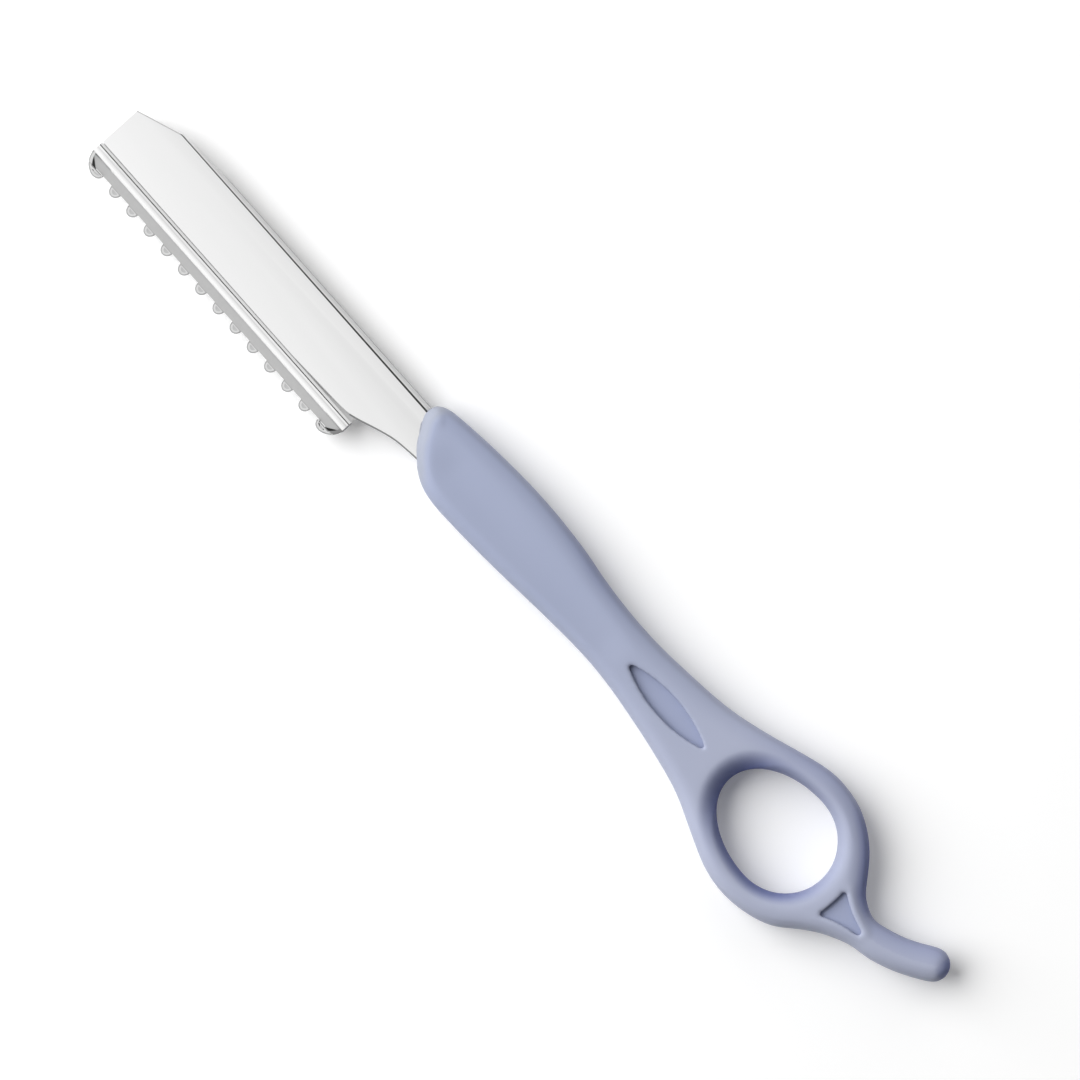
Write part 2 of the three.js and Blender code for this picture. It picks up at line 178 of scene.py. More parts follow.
def soft_lamp(name, turn, elevation, power):
    """A round soft box; turn is its bearing from the toe, towards the edge side."""
    direction = Vector((
        math.cos(turn) * math.cos(elevation),
        math.sin(turn) * math.cos(elevation),
        math.sin(elevation),
    ))
    light = bpy.data.lights.new(name, "AREA")
    light.shape = "DISK"
    light.size = LAMP_SIZE
    light.energy = power
    lamp = bpy.data.objects.new(name, light)
    lamp.location = picture_centre + direction * LAMP_DISTANCE
    lamp.rotation_euler = (-direction).to_track_quat("-Z", "Y").to_euler()
    lamp.visible_glossy = False
    scene.collection.objects.link(lamp)
    print(name, "comes from", [round(part, 2) for part in direction])


soft_lamp("key_lamp", KEY_TURN, KEY_ELEVATION, KEY_POWER)
soft_lamp("fill_lamp", FILL_TURN, FILL_ELEVATION, FILL_POWER)

# %% Room
ROOM_LIGHT = 0.09
HORIZON = 0.8
CEILING = 0.96
CEILING_FROM = 0.9
SIDE_GLOW = 0.2


def mirrored_level(tree):
    """Brighter from the horizon up, and towards the picture's left."""
    place = tree.nodes.new("ShaderNodeTexCoord")
    parts = tree.nodes.new("ShaderNodeSeparateXYZ")
    tree.links.new(place.outputs["Generated"], parts.inputs[0])
    height = tree.nodes.new("ShaderNodeMapRange")
    height.interpolation_type = "SMOOTHSTEP"
    height.inputs["From Max"].default_value = CEILING_FROM
    height.inputs["To Min"].default_value = HORIZON
    height.inputs["To Max"].default_value = CEILING
    tree.links.new(parts.outputs["Z"], height.inputs["Value"])
    side = tree.nodes.new("ShaderNodeVectorMath")
    side.operation = "DOT_PRODUCT"
    side.inputs[1].default_value = (math.cos(AXIS_TILT), math.sin(AXIS_TILT), 0)
    tree.links.new(place.outputs["Generated"], side.inputs[0])
    level = tree.nodes.new("ShaderNodeMath")
    level.operation = "MULTIPLY_ADD"
    level.inputs[1].default_value = SIDE_GLOW
    tree.links.new(side.outputs["Value"], level.inputs[0])
    tree.links.new(height.outputs["Result"], level.inputs[2])
    return level.outputs[0]


def make_room():
    world = bpy.data.worlds.new("white_room")
    world.use_nodes = True
    scene.world = world
    tree = world.node_tree
    lighting = tree.nodes["Background"]
    lighting.inputs["Strength"].default_value = ROOM_LIGHT
    level = mirrored_level(tree)
    mirrored = tree.nodes.new("ShaderNodeBackground")
    white = tree.nodes.new("ShaderNodeBackground")
    for look in (lighting, mirrored, white):
        look.inputs["Color"].default_value = (1, 1, 1, 1)
    tree.links.new(level, mirrored.inputs["Strength"])

    path = tree.nodes.new("ShaderNodeLightPath")
    surface = lighting.outputs[0]
    for ray, look in (("Is Glossy Ray", mirrored), ("Is Camera Ray", white)):
        choice = tree.nodes.new("ShaderNodeMixShader")
        tree.links.new(path.outputs[ray], choice.inputs["Fac"])
        tree.links.new(surface, choice.inputs[1])
        tree.links.new(look.outputs[0], choice.inputs[2])
        surface = choice.outputs[0]
    tree.links.new(surface, tree.nodes["World Output"].inputs["Surface"])


make_room()
print("room light:", ROOM_LIGHT, "mirrored ceiling:", CEILING)

# %% [markdown]
# ## Helpers for finishes
#
# Each finish is a Principled shader whose colour, roughness and bump come from noise on the
# piece's own coordinates, in metres. So a grain size can be written as a real size, and it stays
# the same on every piece. Noise seldom leaves its middle, so we spread that middle out when it
# drives a roughness.

# %% Grain and ramps


def new_finish(name, metallic):
    material = bpy.data.materials.new(name)
    material.use_nodes = True
    shader = material.node_tree.nodes["Principled BSDF"]
    shader.inputs["Metallic"].default_value = metallic
    return material, material.node_tree, shader


def grain(tree, size, detail=2.0):
    """Noise with features of the given size, in metres along X, Y and Z."""
    place = tree.nodes.new("ShaderNodeTexCoord")
    mapping = tree.nodes.new("ShaderNodeMapping")
    mapping.inputs["Scale"].default_value = [1 / side for side in size]
    noise = tree.nodes.new("ShaderNodeTexNoise")
    noise.inputs["Scale"].default_value = 1.0
    noise.inputs["Detail"].default_value = detail
    tree.links.new(place.outputs["Object"], mapping.inputs["Vector"])
    tree.links.new(mapping.outputs["Vector"], noise.inputs["Vector"])
    return noise.outputs["Fac"]


def along(tree, axis, start, end):
    """A ramp from 0 at start to 1 at end along one axis of the piece, in metres."""
    place = tree.nodes.new("ShaderNodeTexCoord")
    parts = tree.nodes.new("ShaderNodeSeparateXYZ")
    tree.links.new(place.outputs["Object"], parts.inputs[0])
    ramp = tree.nodes.new("ShaderNodeMapRange")
    ramp.inputs["From Min"].default_value = start
    ramp.inputs["From Max"].default_value = end
    tree.links.new(parts.outputs[axis], ramp.inputs["Value"])
    return ramp.outputs["Result"]


def blended(tree, first, second, share):
    mix = tree.nodes.new("ShaderNodeMix")
    mix.inputs["Factor"].default_value = share
    tree.links.new(first, mix.inputs["A"])
    tree.links.new(second, mix.inputs["B"])
    return mix.outputs["Result"]


# %% Colour, roughness and bump
NOISE_LOW, NOISE_HIGH = 0.3, 0.7


def colour_from(tree, value, dark, light, socket):
    mix = tree.nodes.new("ShaderNodeMix")
    mix.data_type = "RGBA"
    mix.inputs["A"].default_value = (*dark, 1)
    mix.inputs["B"].default_value = (*light, 1)
    tree.links.new(value, mix.inputs["Factor"])
    tree.links.new(mix.outputs["Result"], socket)


def roughness_from(tree, value, limits, shader):
    spread = tree.nodes.new("ShaderNodeMapRange")
    spread.inputs["From Min"].default_value = NOISE_LOW
    spread.inputs["From Max"].default_value = NOISE_HIGH
    spread.inputs["To Min"].default_value, spread.inputs["To Max"].default_value = limits
    tree.links.new(value, spread.inputs["Value"])
    tree.links.new(spread.outputs["Result"], shader.inputs["Roughness"])


def bump_from(tree, value, depth, strength, shader):
    bump = tree.nodes.new("ShaderNodeBump")
    bump.inputs["Strength"].default_value = strength
    bump.inputs["Distance"].default_value = depth
    tree.links.new(value, bump.inputs["Height"])
    tree.links.new(bump.outputs["Normal"], shader.inputs["Normal"])


def grey(level):
    return (level, level, level)


print("noise is spread from", NOISE_LOW, "to", NOISE_HIGH)

# %% [markdown]
# ## The soft coat
#
# The handle has a matte, soft coat: pale lavender, with a very fine grain and a little sheen.
# Light and shade are painted into its colour: it is painted paler towards the ring as painted
# light, greyer on the rim of the nose as a painted sheen, and darker and bluer where the surface
# falls away from the light, above all into the finger hole, as painted shade. We could paint
# these places on an image. A ramp along the handle and two numbers that every corner of the mesh
# carries, one for the painted shade and one for the nose's painted sheen, do the same without
# one, and they stay with the piece when it moves.

# %% Soft coat
SKIN_DARK, SKIN_LIGHT = (0.342, 0.381, 0.52), (0.422, 0.45, 0.575)
# Painted shade: a dark blue that the coat goes over to where the surface falls away from the
# light.
PAINTED_SHADE_DARK, PAINTED_SHADE_LIGHT = (0.07, 0.096, 0.29), (0.078, 0.105, 0.31)
# Painted sheen: a greyer lavender that stands for a highlight on the rim of the nose.
NOSE_SHEEN_DARK, NOSE_SHEEN_LIGHT = (0.338, 0.365, 0.448), (0.418, 0.435, 0.5)
CORE_DARK, CORE_LIGHT = (0.328, 0.365, 0.515), (0.352, 0.389, 0.54)
# Painted light: the coat is painted paler from the grip towards the ring.
PAINTED_LIGHT_FROM, PAINTED_LIGHT_TO = -10 * MM, -54 * MM
COAT_CLOUD = (18 * MM,) * 3
CLOUD_SHARE = 0.25
COAT_GRAIN = (0.16 * MM,) * 3
FINE_DETAIL = 3.0
COAT_BUMP, COAT_BUMP_STRENGTH = 0.012 * MM, 0.5
COAT_ROUGHNESS = 0.5, 0.6
COAT_GLOSS = 0.35
COAT_SHEEN, SHEEN_ROUGHNESS = 0.05, 0.45


def go_over(tree, socket, attribute, value, dark, light):
    """Goes over to a second pair of colours where the piece has the attribute."""
    amount = tree.nodes.new("ShaderNodeAttribute")
    amount.attribute_name = attribute
    mix = tree.nodes.new("ShaderNodeMix")
    mix.data_type = "RGBA"
    tree.links.new(amount.outputs["Fac"], mix.inputs["Factor"])
    tree.links.new(socket.links[0].from_socket, mix.inputs["A"])
    colour_from(tree, value, dark, light, mix.inputs["B"])
    tree.links.new(mix.outputs["Result"], socket)


def soft_coat(name, dark, light, of_skin):
    material, tree, shader = new_finish(name, metallic=0.0)
    colour = shader.inputs["Base Color"]
    cloud = grain(tree, COAT_CLOUD)
    if of_skin:
        # Painted light: paler along the handle towards the ring.
        cloud = blended(tree, along(tree, "X", PAINTED_LIGHT_FROM, PAINTED_LIGHT_TO), cloud, CLOUD_SHARE)
    colour_from(tree, cloud, dark, light, colour)
    if of_skin:
        # Painted shade, as much as each corner carries.
        go_over(tree, colour, "painted_shade", cloud, PAINTED_SHADE_DARK, PAINTED_SHADE_LIGHT)
        # Painted sheen on the rim of the nose, as much as each corner carries.
        go_over(tree, colour, "nose", cloud, NOSE_SHEEN_DARK, NOSE_SHEEN_LIGHT)
    fine = grain(tree, COAT_GRAIN, FINE_DETAIL)
    roughness_from(tree, fine, COAT_ROUGHNESS, shader)
    bump_from(tree, fine, COAT_BUMP, COAT_BUMP_STRENGTH, shader)
    shader.inputs["Specular IOR Level"].default_value = COAT_GLOSS
    shader.inputs["Sheen Weight"].default_value = COAT_SHEEN
    shader.inputs["Sheen Roughness"].default_value = SHEEN_ROUGHNESS
    return material


skin_coat = soft_coat("lavender_soft_coat", SKIN_DARK, SKIN_LIGHT, True)
core_coat = soft_coat("lavender_core", CORE_DARK, CORE_LIGHT, False)
print("soft coats:", skin_coat.name, core_coat.name)

# %% [markdown]
# ## The steels
#
# The steel comes in two kinds. Polished sheet has faint draw lines along the tool and is very
# slightly wavy, which breaks up what it mirrors. It is also painted lighter towards the edge
# side of the head, a painted reflection. Ground steel is duller, with fine lines across its
# edge. One ground steel could serve every ground face, but most small faces are painted in their
# own greys as painted light and shade: a dark grey for dark edges, a darker grey for falling
# rims and steep faces, and a light grey for strips and crescents of light. The tooth middles and
# two chamfers get mid greys of their own. Score, groove and the guard's open ends are painted
# near black as painted shade, which a bright room would otherwise wash out.

# %% Polished and ground steel
POLISH_CLOUD = (30 * MM, 3 * MM, 3 * MM)
DRAW_LINES = (24 * MM, 0.4 * MM, 0.4 * MM)
SHEET_WAVES, WAVE_DEPTH, WAVE_STRENGTH = (30 * MM, 9 * MM, 9 * MM), 0.01 * MM, 1.0
POLISHED_ROUGHNESS = 0.12, 0.17
GRIND_LINES, GRIND_DEPTH, GRIND_STRENGTH = (0.22 * MM, 6 * MM, 6 * MM), 0.006 * MM, 0.5
GRIND_CLOUD = (0.9 * MM,) * 3
GRIND_SHARE = 0.5
GROUND_ROUGHNESS = 0.42, 0.52


def polished_steel(name, dark, light):
    material, tree, shader = new_finish(name, metallic=1.0)
    # Painted reflection: the polished steel is painted lighter from the spine towards the edge
    # side of the head.
    across = along(tree, "Y", holder_low.y, holder_high.y)
    tone = blended(tree, across, grain(tree, POLISH_CLOUD), CLOUD_SHARE)
    colour_from(tree, tone, grey(dark), grey(light), shader.inputs["Base Color"])
    roughness_from(tree, grain(tree, DRAW_LINES, FINE_DETAIL), POLISHED_ROUGHNESS, shader)
    bump_from(tree, grain(tree, SHEET_WAVES), WAVE_DEPTH, WAVE_STRENGTH, shader)
    return material


def ground_steel(name, dark, light):
    material, tree, shader = new_finish(name, metallic=1.0)
    cross_lines = grain(tree, GRIND_LINES)
    tone = blended(tree, cross_lines, grain(tree, GRIND_CLOUD, FINE_DETAIL), GRIND_SHARE)
    colour_from(tree, tone, grey(dark), grey(light), shader.inputs["Base Color"])
    roughness_from(tree, cross_lines, GROUND_ROUGHNESS, shader)
    bump_from(tree, cross_lines, GRIND_DEPTH, GRIND_STRENGTH, shader)
    return material


head_steel = polished_steel("polished_sheet", 0.79, 0.91)
guard_steel = polished_steel("polished_strip", 0.88, 0.96)
# Painted shade and light: the next three are one ground steel in shaded and lit copies, a dark
# grey, a darker rim grey and a light grey.
shade_edge_steel = ground_steel("painted_shade_edge", 0.25, 0.32)
shade_rim_steel = ground_steel("painted_shade_rim", 0.46, 0.54)
light_face_steel = ground_steel("painted_light_face", 0.74, 0.82)
tooth_steel = ground_steel("pressed_tooth", 0.56, 0.64)
spine_steel = ground_steel("rolled_spine", 0.63, 0.7)
blade_steel = ground_steel("ground_blade", 0.51, 0.61)
inner_steel = ground_steel("plain_steel", 0.46, 0.56)
print("brightest steel:", guard_steel.name, "darkest steel:", shade_edge_steel.name)

# %% Painted shade in score, groove and open ends
# Painted shade, darker at the heel and lighter towards the toe.
BLACK_AT_HEEL, BLACK_AT_TOE = 0.012, 0.06
BLACK_GRAIN = (3 * MM, 0.3 * MM, 0.3 * MM)
BLACK_ROUGHNESS = 0.5, 0.7


def painted_groove_shade():
    material, tree, shader = new_finish("painted_groove_shade", metallic=0.0)
    heel_to_toe = along(tree, "X", 0.0, holder_high.x)
    colour_from(tree, heel_to_toe, grey(BLACK_AT_HEEL), grey(BLACK_AT_TOE),
                shader.inputs["Base Color"])
    roughness_from(tree, grain(tree, BLACK_GRAIN), BLACK_ROUGHNESS, shader)
    return material


groove_shade = painted_groove_shade()
print("in score and groove:", groove_shade.name)

# %% [markdown]
# ## Copies of the solids
#
# A solid arrives as loose triangles. To work on its shape we copy it, merge the corners that
# meet, and join triangles that lie in one plane into whole faces again. A plain smooth shading
# would blur the sheet's edges, so a narrow bevel with hardened normals goes on last.

# %% Copy helpers
WELD = 0.0005 * MM
CUT_SNAP = 0.0001 * MM
FLAT_ANGLE = math.radians(0.5)
SHARP_ANGLE = math.radians(25)
EDGE_SEGMENTS = 2
HAS_FACING = 0.5


def merged_copy(node):
    bm = bmesh.new()
    bm.from_mesh(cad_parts[node].data)
    bmesh.ops.remove_doubles(bm, verts=bm.verts, dist=WELD)
    return bm


def whole_faces(bm):
    bmesh.ops.dissolve_limit(bm, angle_limit=FLAT_ANGLE, verts=bm.verts, edges=bm.edges)


def upright(face, lean):
    """True for a wall. A sliver without an area has no facing and doesn't count."""
    return face.normal.length > HAS_FACING and abs(face.normal.z) < lean


def cut(bm, point, normal):
    bmesh.ops.bisect_plane(
        bm, geom=bm.verts[:] + bm.edges[:] + bm.faces[:], dist=CUT_SNAP,
        plane_co=point, plane_no=normal)


def paint(faces, finishes, finish):
    for face in faces:
        face.material_index = finishes.index(finish)


def finished(name, bm, finishes):
    mesh = bpy.data.meshes.new(name)
    for face in bm.faces:
        face.smooth = True
    bm.to_mesh(mesh)
    bm.free()
    for finish in finishes:
        mesh.materials.append(finish)
    piece = bpy.data.objects.new(name, mesh)
    scene.collection.objects.link(piece)
    return piece


def soften_edges(piece, width):
    bevel = piece.modifiers.new("soft_edges", "BEVEL")
    bevel.width = width
    bevel.segments = EDGE_SEGMENTS
    bevel.limit_method = "ANGLE"
    bevel.angle_limit = SHARP_ANGLE
    bevel.use_clamp_overlap = True
    bevel.harden_normals = True


def stands_for(piece, node, body):
    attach(piece, body)
    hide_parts(node)
    print(piece.name, "faces:", len(piece.data.polygons))


# %% [markdown]
# ## The handle
#
# On the real razor a soft skin is moulded over a hard core, so no edge on it is sharp: even the
# rims of the leaf and the triangle roll over. We could bevel every rim. A moulding is rounded
# everywhere at once, though, and so is a voxel remesh that is then smoothed, so that is the way
# chosen here. A voxel can't hold a point that is finer than itself, so the leaf is drawn out a
# little beforehand. The rims of the two windows get only two passes, or they would wear away.

# %% Draw out the leaf
RING_FROM_TAIL = 39.5 * MM
LEAF_FROM_RING = 18 * MM
LEAF_ABOVE_MIDDLE = 3 * MM
LEAF_STRETCH = 1.065
WALL_LEAN = 0.2

skin_low, skin_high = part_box("grip_skin")
ring_centre = Vector((skin_low.x + RING_FROM_TAIL, 0, 0))


def in_leaf_wall(face):
    middle = face.calc_center_median()
    return (upright(face, WALL_LEAN) and middle.z > mid_height + LEAF_ABOVE_MIDDLE
            and middle.x > ring_centre.x + LEAF_FROM_RING)


def stretch_leaf(bm):
    walls = {corner for face in bm.faces if in_leaf_wall(face) for corner in face.verts}
    places = [corner.co.x for corner in walls]
    middle = (min(places) + max(places)) / 2
    for corner in walls:
        corner.co.x = middle + LEAF_STRETCH * (corner.co.x - middle)
    print("leaf in mm:", round((max(places) - min(places)) / MM, 2), "corners:", len(walls))


skin_copy = merged_copy("grip_skin")
stretch_leaf(skin_copy)

# %% Remesh the skin
SKIN_VOXEL = 0.36 * MM


def remeshed(name, bm, voxel):
    rough = finished(name, bm, [])
    remesh = rough.modifiers.new("voxels", "REMESH")
    remesh.mode = "VOXEL"
    remesh.voxel_size = voxel
    shown = rough.evaluated_get(bpy.context.evaluated_depsgraph_get())
    bm = bmesh.new()
    bm.from_mesh(shown.to_mesh())
    bpy.data.objects.remove(rough)
    return bm


skin_mesh = remeshed("rough_skin", skin_copy, SKIN_VOXEL)
# Each corner carries two numbers: how much painted shade it gets, and how much painted sheen on
# the nose.
for tint in ("painted_shade", "nose"):
    skin_mesh.verts.layers.float.new(tint)
print("skin corners after the remesh:", len(skin_mesh.verts))

# %% Find the window rims
POINT_SPACING = 0.3 * MM
LEVEL_FACING = 0.9


def points_along(edge):
    first, last = [corner.co for corner in edge.verts]
    steps = max(1, round((last - first).length / POINT_SPACING))
    return [first.lerp(last, step / steps) for step in range(steps + 1)]


def search_tree(points):
    tree = KDTree(len(points))
    for index, point in enumerate(points):
        tree.insert(point, index)
    tree.balance()
    return tree


def window_rims():
    """Points along the edges where a level face meets an upright wall on the front."""
    bm = merged_copy("grip_skin")
    points = []
    for edge in bm.edges:
        walls = [face for face in edge.link_faces if upright(face, WALL_LEAN)]
        level = [face for face in edge.link_faces if abs(face.normal.z) > LEVEL_FACING]
        if walls and level and edge.verts[0].co.z > mid_height:
            points += points_along(edge)
    bm.free()
    return search_tree(points)


rims = window_rims()
rim_distance = {corner: rims.find(corner.co)[2] for corner in skin_mesh.verts}
print("nearest rim in mm:", round(min(rim_distance.values()) / MM, 3))

# %% Smooth the skin
RIM_PASSES = 2
SKIN_PASSES = 10
SMOOTHING = 0.5
RIM_ZONE = 1.0 * MM


def smooth(bm, passes, rim_passes):
    away = [corner for corner in bm.verts if rim_distance[corner] >= RIM_ZONE]
    for turn in range(passes):
        bmesh.ops.smooth_vert(
            bm, verts=bm.verts if turn < rim_passes else away, factor=SMOOTHING,
            use_axis_x=True, use_axis_y=True, use_axis_z=True)


smooth(skin_mesh, SKIN_PASSES, RIM_PASSES)
print("smoothed", SKIN_PASSES, "times, the rims", RIM_PASSES, "times")

# %% [markdown]
# The front of the handle is not just flat with round edges. The spine side falls away in a wide
# shoulder. The front of the finger hole rolls in deeply, where the finger pulls. The thumb has a
# very shallow dish along the grip. A sculptor's brush could press these in by eye. Here each one
# is a fall from the crown that depends only on the distance to the nearest edge, so that it can
# be measured. The same distances tell where shade is painted into the coat's colour: the nearer
# an edge that faces away from the light, the darker and bluer the painted shade.

# %% Find the handle's edge
CORE_NEAR = 0.7 * MM
EDGE_BAND = 0.6 * MM
EDGE_LEAN = 0.02
RING_REACH = 15 * MM


def middle_of_side(edge, core):
    """The middle of an edge that runs level round the handle, or None for any other edge."""
    first, last = [corner.co for corner in edge.verts]
    middle = (first + last) / 2
    level = abs(first.z - last.z) < LEVEL and abs(middle.z - mid_height) < EDGE_BAND
    return middle if level and core.find_nearest(middle)[3] >= CORE_NEAR else None


def handle_sides():
    """Trees of points on the skin's outer edge and on its finger hole, with their facings."""
    core = BVHTree.FromBMesh(merged_copy("handle_core"))
    bm = merged_copy("grip_skin")
    sorts = {"outside": ([], []), "hole": ([], [])}
    for wall in [face for face in bm.faces if upright(face, EDGE_LEAN)]:
        for edge in wall.edges:
            middle = middle_of_side(edge, core)
            if middle is None:
                continue
            inward = ring_centre - Vector((middle.x, middle.y, 0))
            in_hole = inward.length < RING_REACH and inward.dot(wall.normal) > 0
            points, facings = sorts["hole" if in_hole else "outside"]
            for point in points_along(edge):
                points.append((point.x, point.y, 0))
                facings.append(wall.normal.copy())
    bm.free()
    return {sort: (search_tree(points), facings) for sort, (points, facings) in sorts.items()}


sides = handle_sides()
print("edge points:", {sort: len(facings) for sort, (tree, facings) in sides.items()})

# %% Measure the crown
SLICE = 2 * MM
NOSE_LENGTH = 8 * MM


def crown_heights(bm):
    """The highest point of each slice across the handle."""
    heights = {}
    for corner in bm.verts:
        slice_at = round(corner.co.x / SLICE)
        heights[slice_at] = max(heights.get(slice_at, 0.0), corner.co.z)
    return heights


def crown_at(heights, x):
    x = min(x, skin_high.x - NOSE_LENGTH)
    low = math.floor(x / SLICE)
    share = x / SLICE - low
    first = heights.get(low, heights.get(low + 1))
    return first + share * (heights.get(low + 1, first) - first)


heights = crown_heights(skin_mesh)
print("highest crown in mm:", round(max(heights.values()) / MM, 2))

# %% Nearness to an edge
NEAR_POINTS = 24

# Each edge: its sort, the way it faces, how far in it counts, and how squarely it has to face
# that way to start to count and to count in full.
SPINE_EDGE = "outside", Vector((0, -1, 0)), 4.2 * MM, 0.05, 0.7
FRONT_OF_HOLE = "hole", Vector((-1, 0, 0)), 3.8 * MM, -0.1, 1.0
# The tail edge and the inside of the hole set only painted shade; the spine edge and the front
# of the hole set both the fall and the painted shade.
TAIL_EDGE = "outside", Vector((-0.88, -0.47, 0)), 2.9 * MM, 0.3, 1.0
INSIDE_OF_HOLE = "hole", Vector((-0.66, -0.75, 0)), 2.1 * MM, -1.3, 0.4


def fade(value, start, end):
    share = min(1.0, max(0.0, (value - start) / (end - start)))
    return share * share * (3 - 2 * share)


def nearness(corner, sort, way, width, start, full):
    """From 0 at a width away to 1 at the nearest edge, for edges that face the way."""
    tree, facings = sides[sort]
    place = (corner.co.x, corner.co.y, 0)
    distance = tree.find(place)[2]
    if distance > width:
        return 0.0
    facing = sum((facings[near[1]] for near in tree.find_n(place, NEAR_POINTS)), Vector())
    return fade(facing.normalized().dot(way), start, full) * (1 - distance / width)


print("facings are taken from the nearest", NEAR_POINTS, "points")

# %% Shape the front, and paint shade and sheen into its coat
SHOULDER_FALL, ROLL_FALL = 1.5 * MM, 3.4 * MM
DISH_AXIS, DISH_HALF_WIDTH, DISH_DEPTH = 0.5 * MM, 4.8 * MM, 0.35 * MM
DISH_START, DISH_END, DISH_FADE = 5 * MM, 58 * MM, 7 * MM
# How much shade is painted along the spine edge, from the grip to the ring.
GRIP_PAINTED_SHADE, RING_PAINTED_SHADE = 0.1, 0.4
RING_FROM, RING_FULL = -45 * MM, -65 * MM
NOSE_START = 16 * MM
NOSE_FACING, NOSE_FACING_FULL = 0.1, 0.5
BLEND_PASSES = 8


def dish(corner):
    behind_nose = skin_high.x - corner.co.x
    along_grip = (fade(behind_nose, DISH_START, DISH_START + DISH_FADE)
                  * (1 - fade(behind_nose, DISH_END - DISH_FADE, DISH_END)))
    across = min(1.0, abs(corner.co.y - DISH_AXIS) / DISH_HALF_WIDTH)
    return along_grip * DISH_DEPTH * (1 - across ** 2) ** 2


# Where the nose's painted sheen goes: the front of the nose, on faces turned to the toe.
def nose_sheen_mask(corner):
    return (fade(corner.co.x, NOSE_START, NOSE_START + NOSE_LENGTH)
            * fade(corner.normal.x, NOSE_FACING, NOSE_FACING_FULL))


painted_shade = skin_mesh.verts.layers.float["painted_shade"]
nose = skin_mesh.verts.layers.float["nose"]
deepest = 0.0
skin_mesh.normal_update()
for corner in skin_mesh.verts:
    clear = fade(rim_distance[corner], RIM_ZONE / 2, 2 * RIM_ZONE)
    by_spine = nearness(corner, *SPINE_EDGE)
    by_front = nearness(corner, *FRONT_OF_HOLE)
    on_ring = fade(corner.co.x, RING_FROM, RING_FULL)
    # Painted sheen: the rim of the nose that faces the toe is greyed, standing for a highlight.
    corner[nose] = nose_sheen_mask(corner)
    # Painted shade: darker and bluer near edges that face away from the light, and round the
    # finger hole.
    corner[painted_shade] = clear * max(
        by_spine * (GRIP_PAINTED_SHADE + (RING_PAINTED_SHADE - GRIP_PAINTED_SHADE) * on_ring), by_front,
        nearness(corner, *TAIL_EDGE), nearness(corner, *INSIDE_OF_HOLE))
    fall = clear * max(SHOULDER_FALL * by_spine ** 2, ROLL_FALL * by_front ** 2, dish(corner))
    if corner.co.z > mid_height and fall > 0:
        corner.co.z = min(corner.co.z, crown_at(heights, corner.co.x) - fall)
        deepest = max(deepest, fall)
smooth(skin_mesh, BLEND_PASSES, 0)
print("deepest fall in mm:", round(deepest / MM, 2))

# %% [markdown]
# The skin is moulded onto the steel shank, so its mouth hugs the sheet. Smoothing has opened the
# mouth a little. We could smooth it less, but then its lip would be sharp. So the corners that
# lie near the shank are drawn towards it, the nearest ones most.

# %% Close the mouth on the shank
MOUTH_START = 18 * MM
HUG_REACH = 0.9 * MM


def hug(bm, node):
    """Draws the corners near a node towards it, and returns how many there were."""
    tree = BVHTree.FromBMesh(merged_copy(node))
    drawn = 0
    for corner in bm.verts:
        if corner.co.x > MOUTH_START:
            nearest, _, _, distance = tree.find_nearest(corner.co, HUG_REACH)
            if nearest:
                corner.co = nearest.lerp(corner.co, distance / HUG_REACH)
                drawn += 1
    return drawn


print("corners drawn to the shank:", hug(skin_mesh, "blade_holder"))
skin = finished("soft_grip_skin", skin_mesh, [skin_coat])
stands_for(skin, "grip_skin", "handle")

# %% [markdown]
# The core shows as the floor of the two windows. The spacer and the pins don't show at all, but
# they are real pieces, so they get a plain steel. Their solids are right as they are and stay.

# %% Finish the core and what it hides
INNER_PIECES = "tang_spacer", "tang_pin_front", "tang_pin_rear"


def refinish(node, finish):
    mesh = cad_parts[node].data
    mesh.materials.clear()
    mesh.materials.append(finish)


refinish("handle_core", core_coat)
for inner in INNER_PIECES:
    refinish(inner, inner_steel)
print("core finished, with", len(INNER_PIECES), "inner steel pieces")

# %% [markdown]
# ## The folded head
#
# One sheet of polished steel, folded over along the spine. A sheet is scored before it is
# folded, and the score runs as a thin line beside the spine, wider at the heel. A dark line in
# the finish alone would look the same from above, but not from the side. So we cut two lines
# along the front leaf, push the strip between them in, and paint the floor of the score near
# black as painted shade.

# %% Score the spine
SCORE_AT_HEEL = 0.36 * MM
SCORE_AT_TOE = 0.16 * MM
SCORE_DEPTH = 0.15 * MM
FACING_UP = 0.99

head_finishes = [
    head_steel, groove_shade, shade_edge_steel, spine_steel, light_face_steel, shade_rim_steel]
head_mesh = merged_copy("blade_holder")
whole_faces(head_mesh)
crease_y = holder_low.y + (holder_high.z - holder_low.z) / 2
score_fall = (SCORE_AT_HEEL - SCORE_AT_TOE) / (holder_high.x - skin_high.x)
cut(head_mesh, (0, crease_y, 0), (0, 1, 0))
cut(head_mesh, (holder_high.x, crease_y + SCORE_AT_TOE, 0), (score_fall, 1, 0))


def in_score(face):
    middle = face.calc_center_median()
    return (face.normal.z > FACING_UP and middle.z > holder_high.z - LEVEL
            and crease_y < middle.y < crease_y + SCORE_AT_HEEL)


score = [face for face in head_mesh.faces if in_score(face)]
sunk = bmesh.ops.extrude_face_region(head_mesh, geom=score)["geom"]
bmesh.ops.delete(head_mesh, geom=score, context="FACES")
for item in sunk:
    if isinstance(item, bmesh.types.BMVert):
        item.co.z -= SCORE_DEPTH
# Painted shade: the floor of the score is painted near black.
floor_of_score = [item for item in sunk if isinstance(item, bmesh.types.BMFace)]
paint(floor_of_score, head_finishes, groove_shade)
print("score faces:", len(floor_of_score))

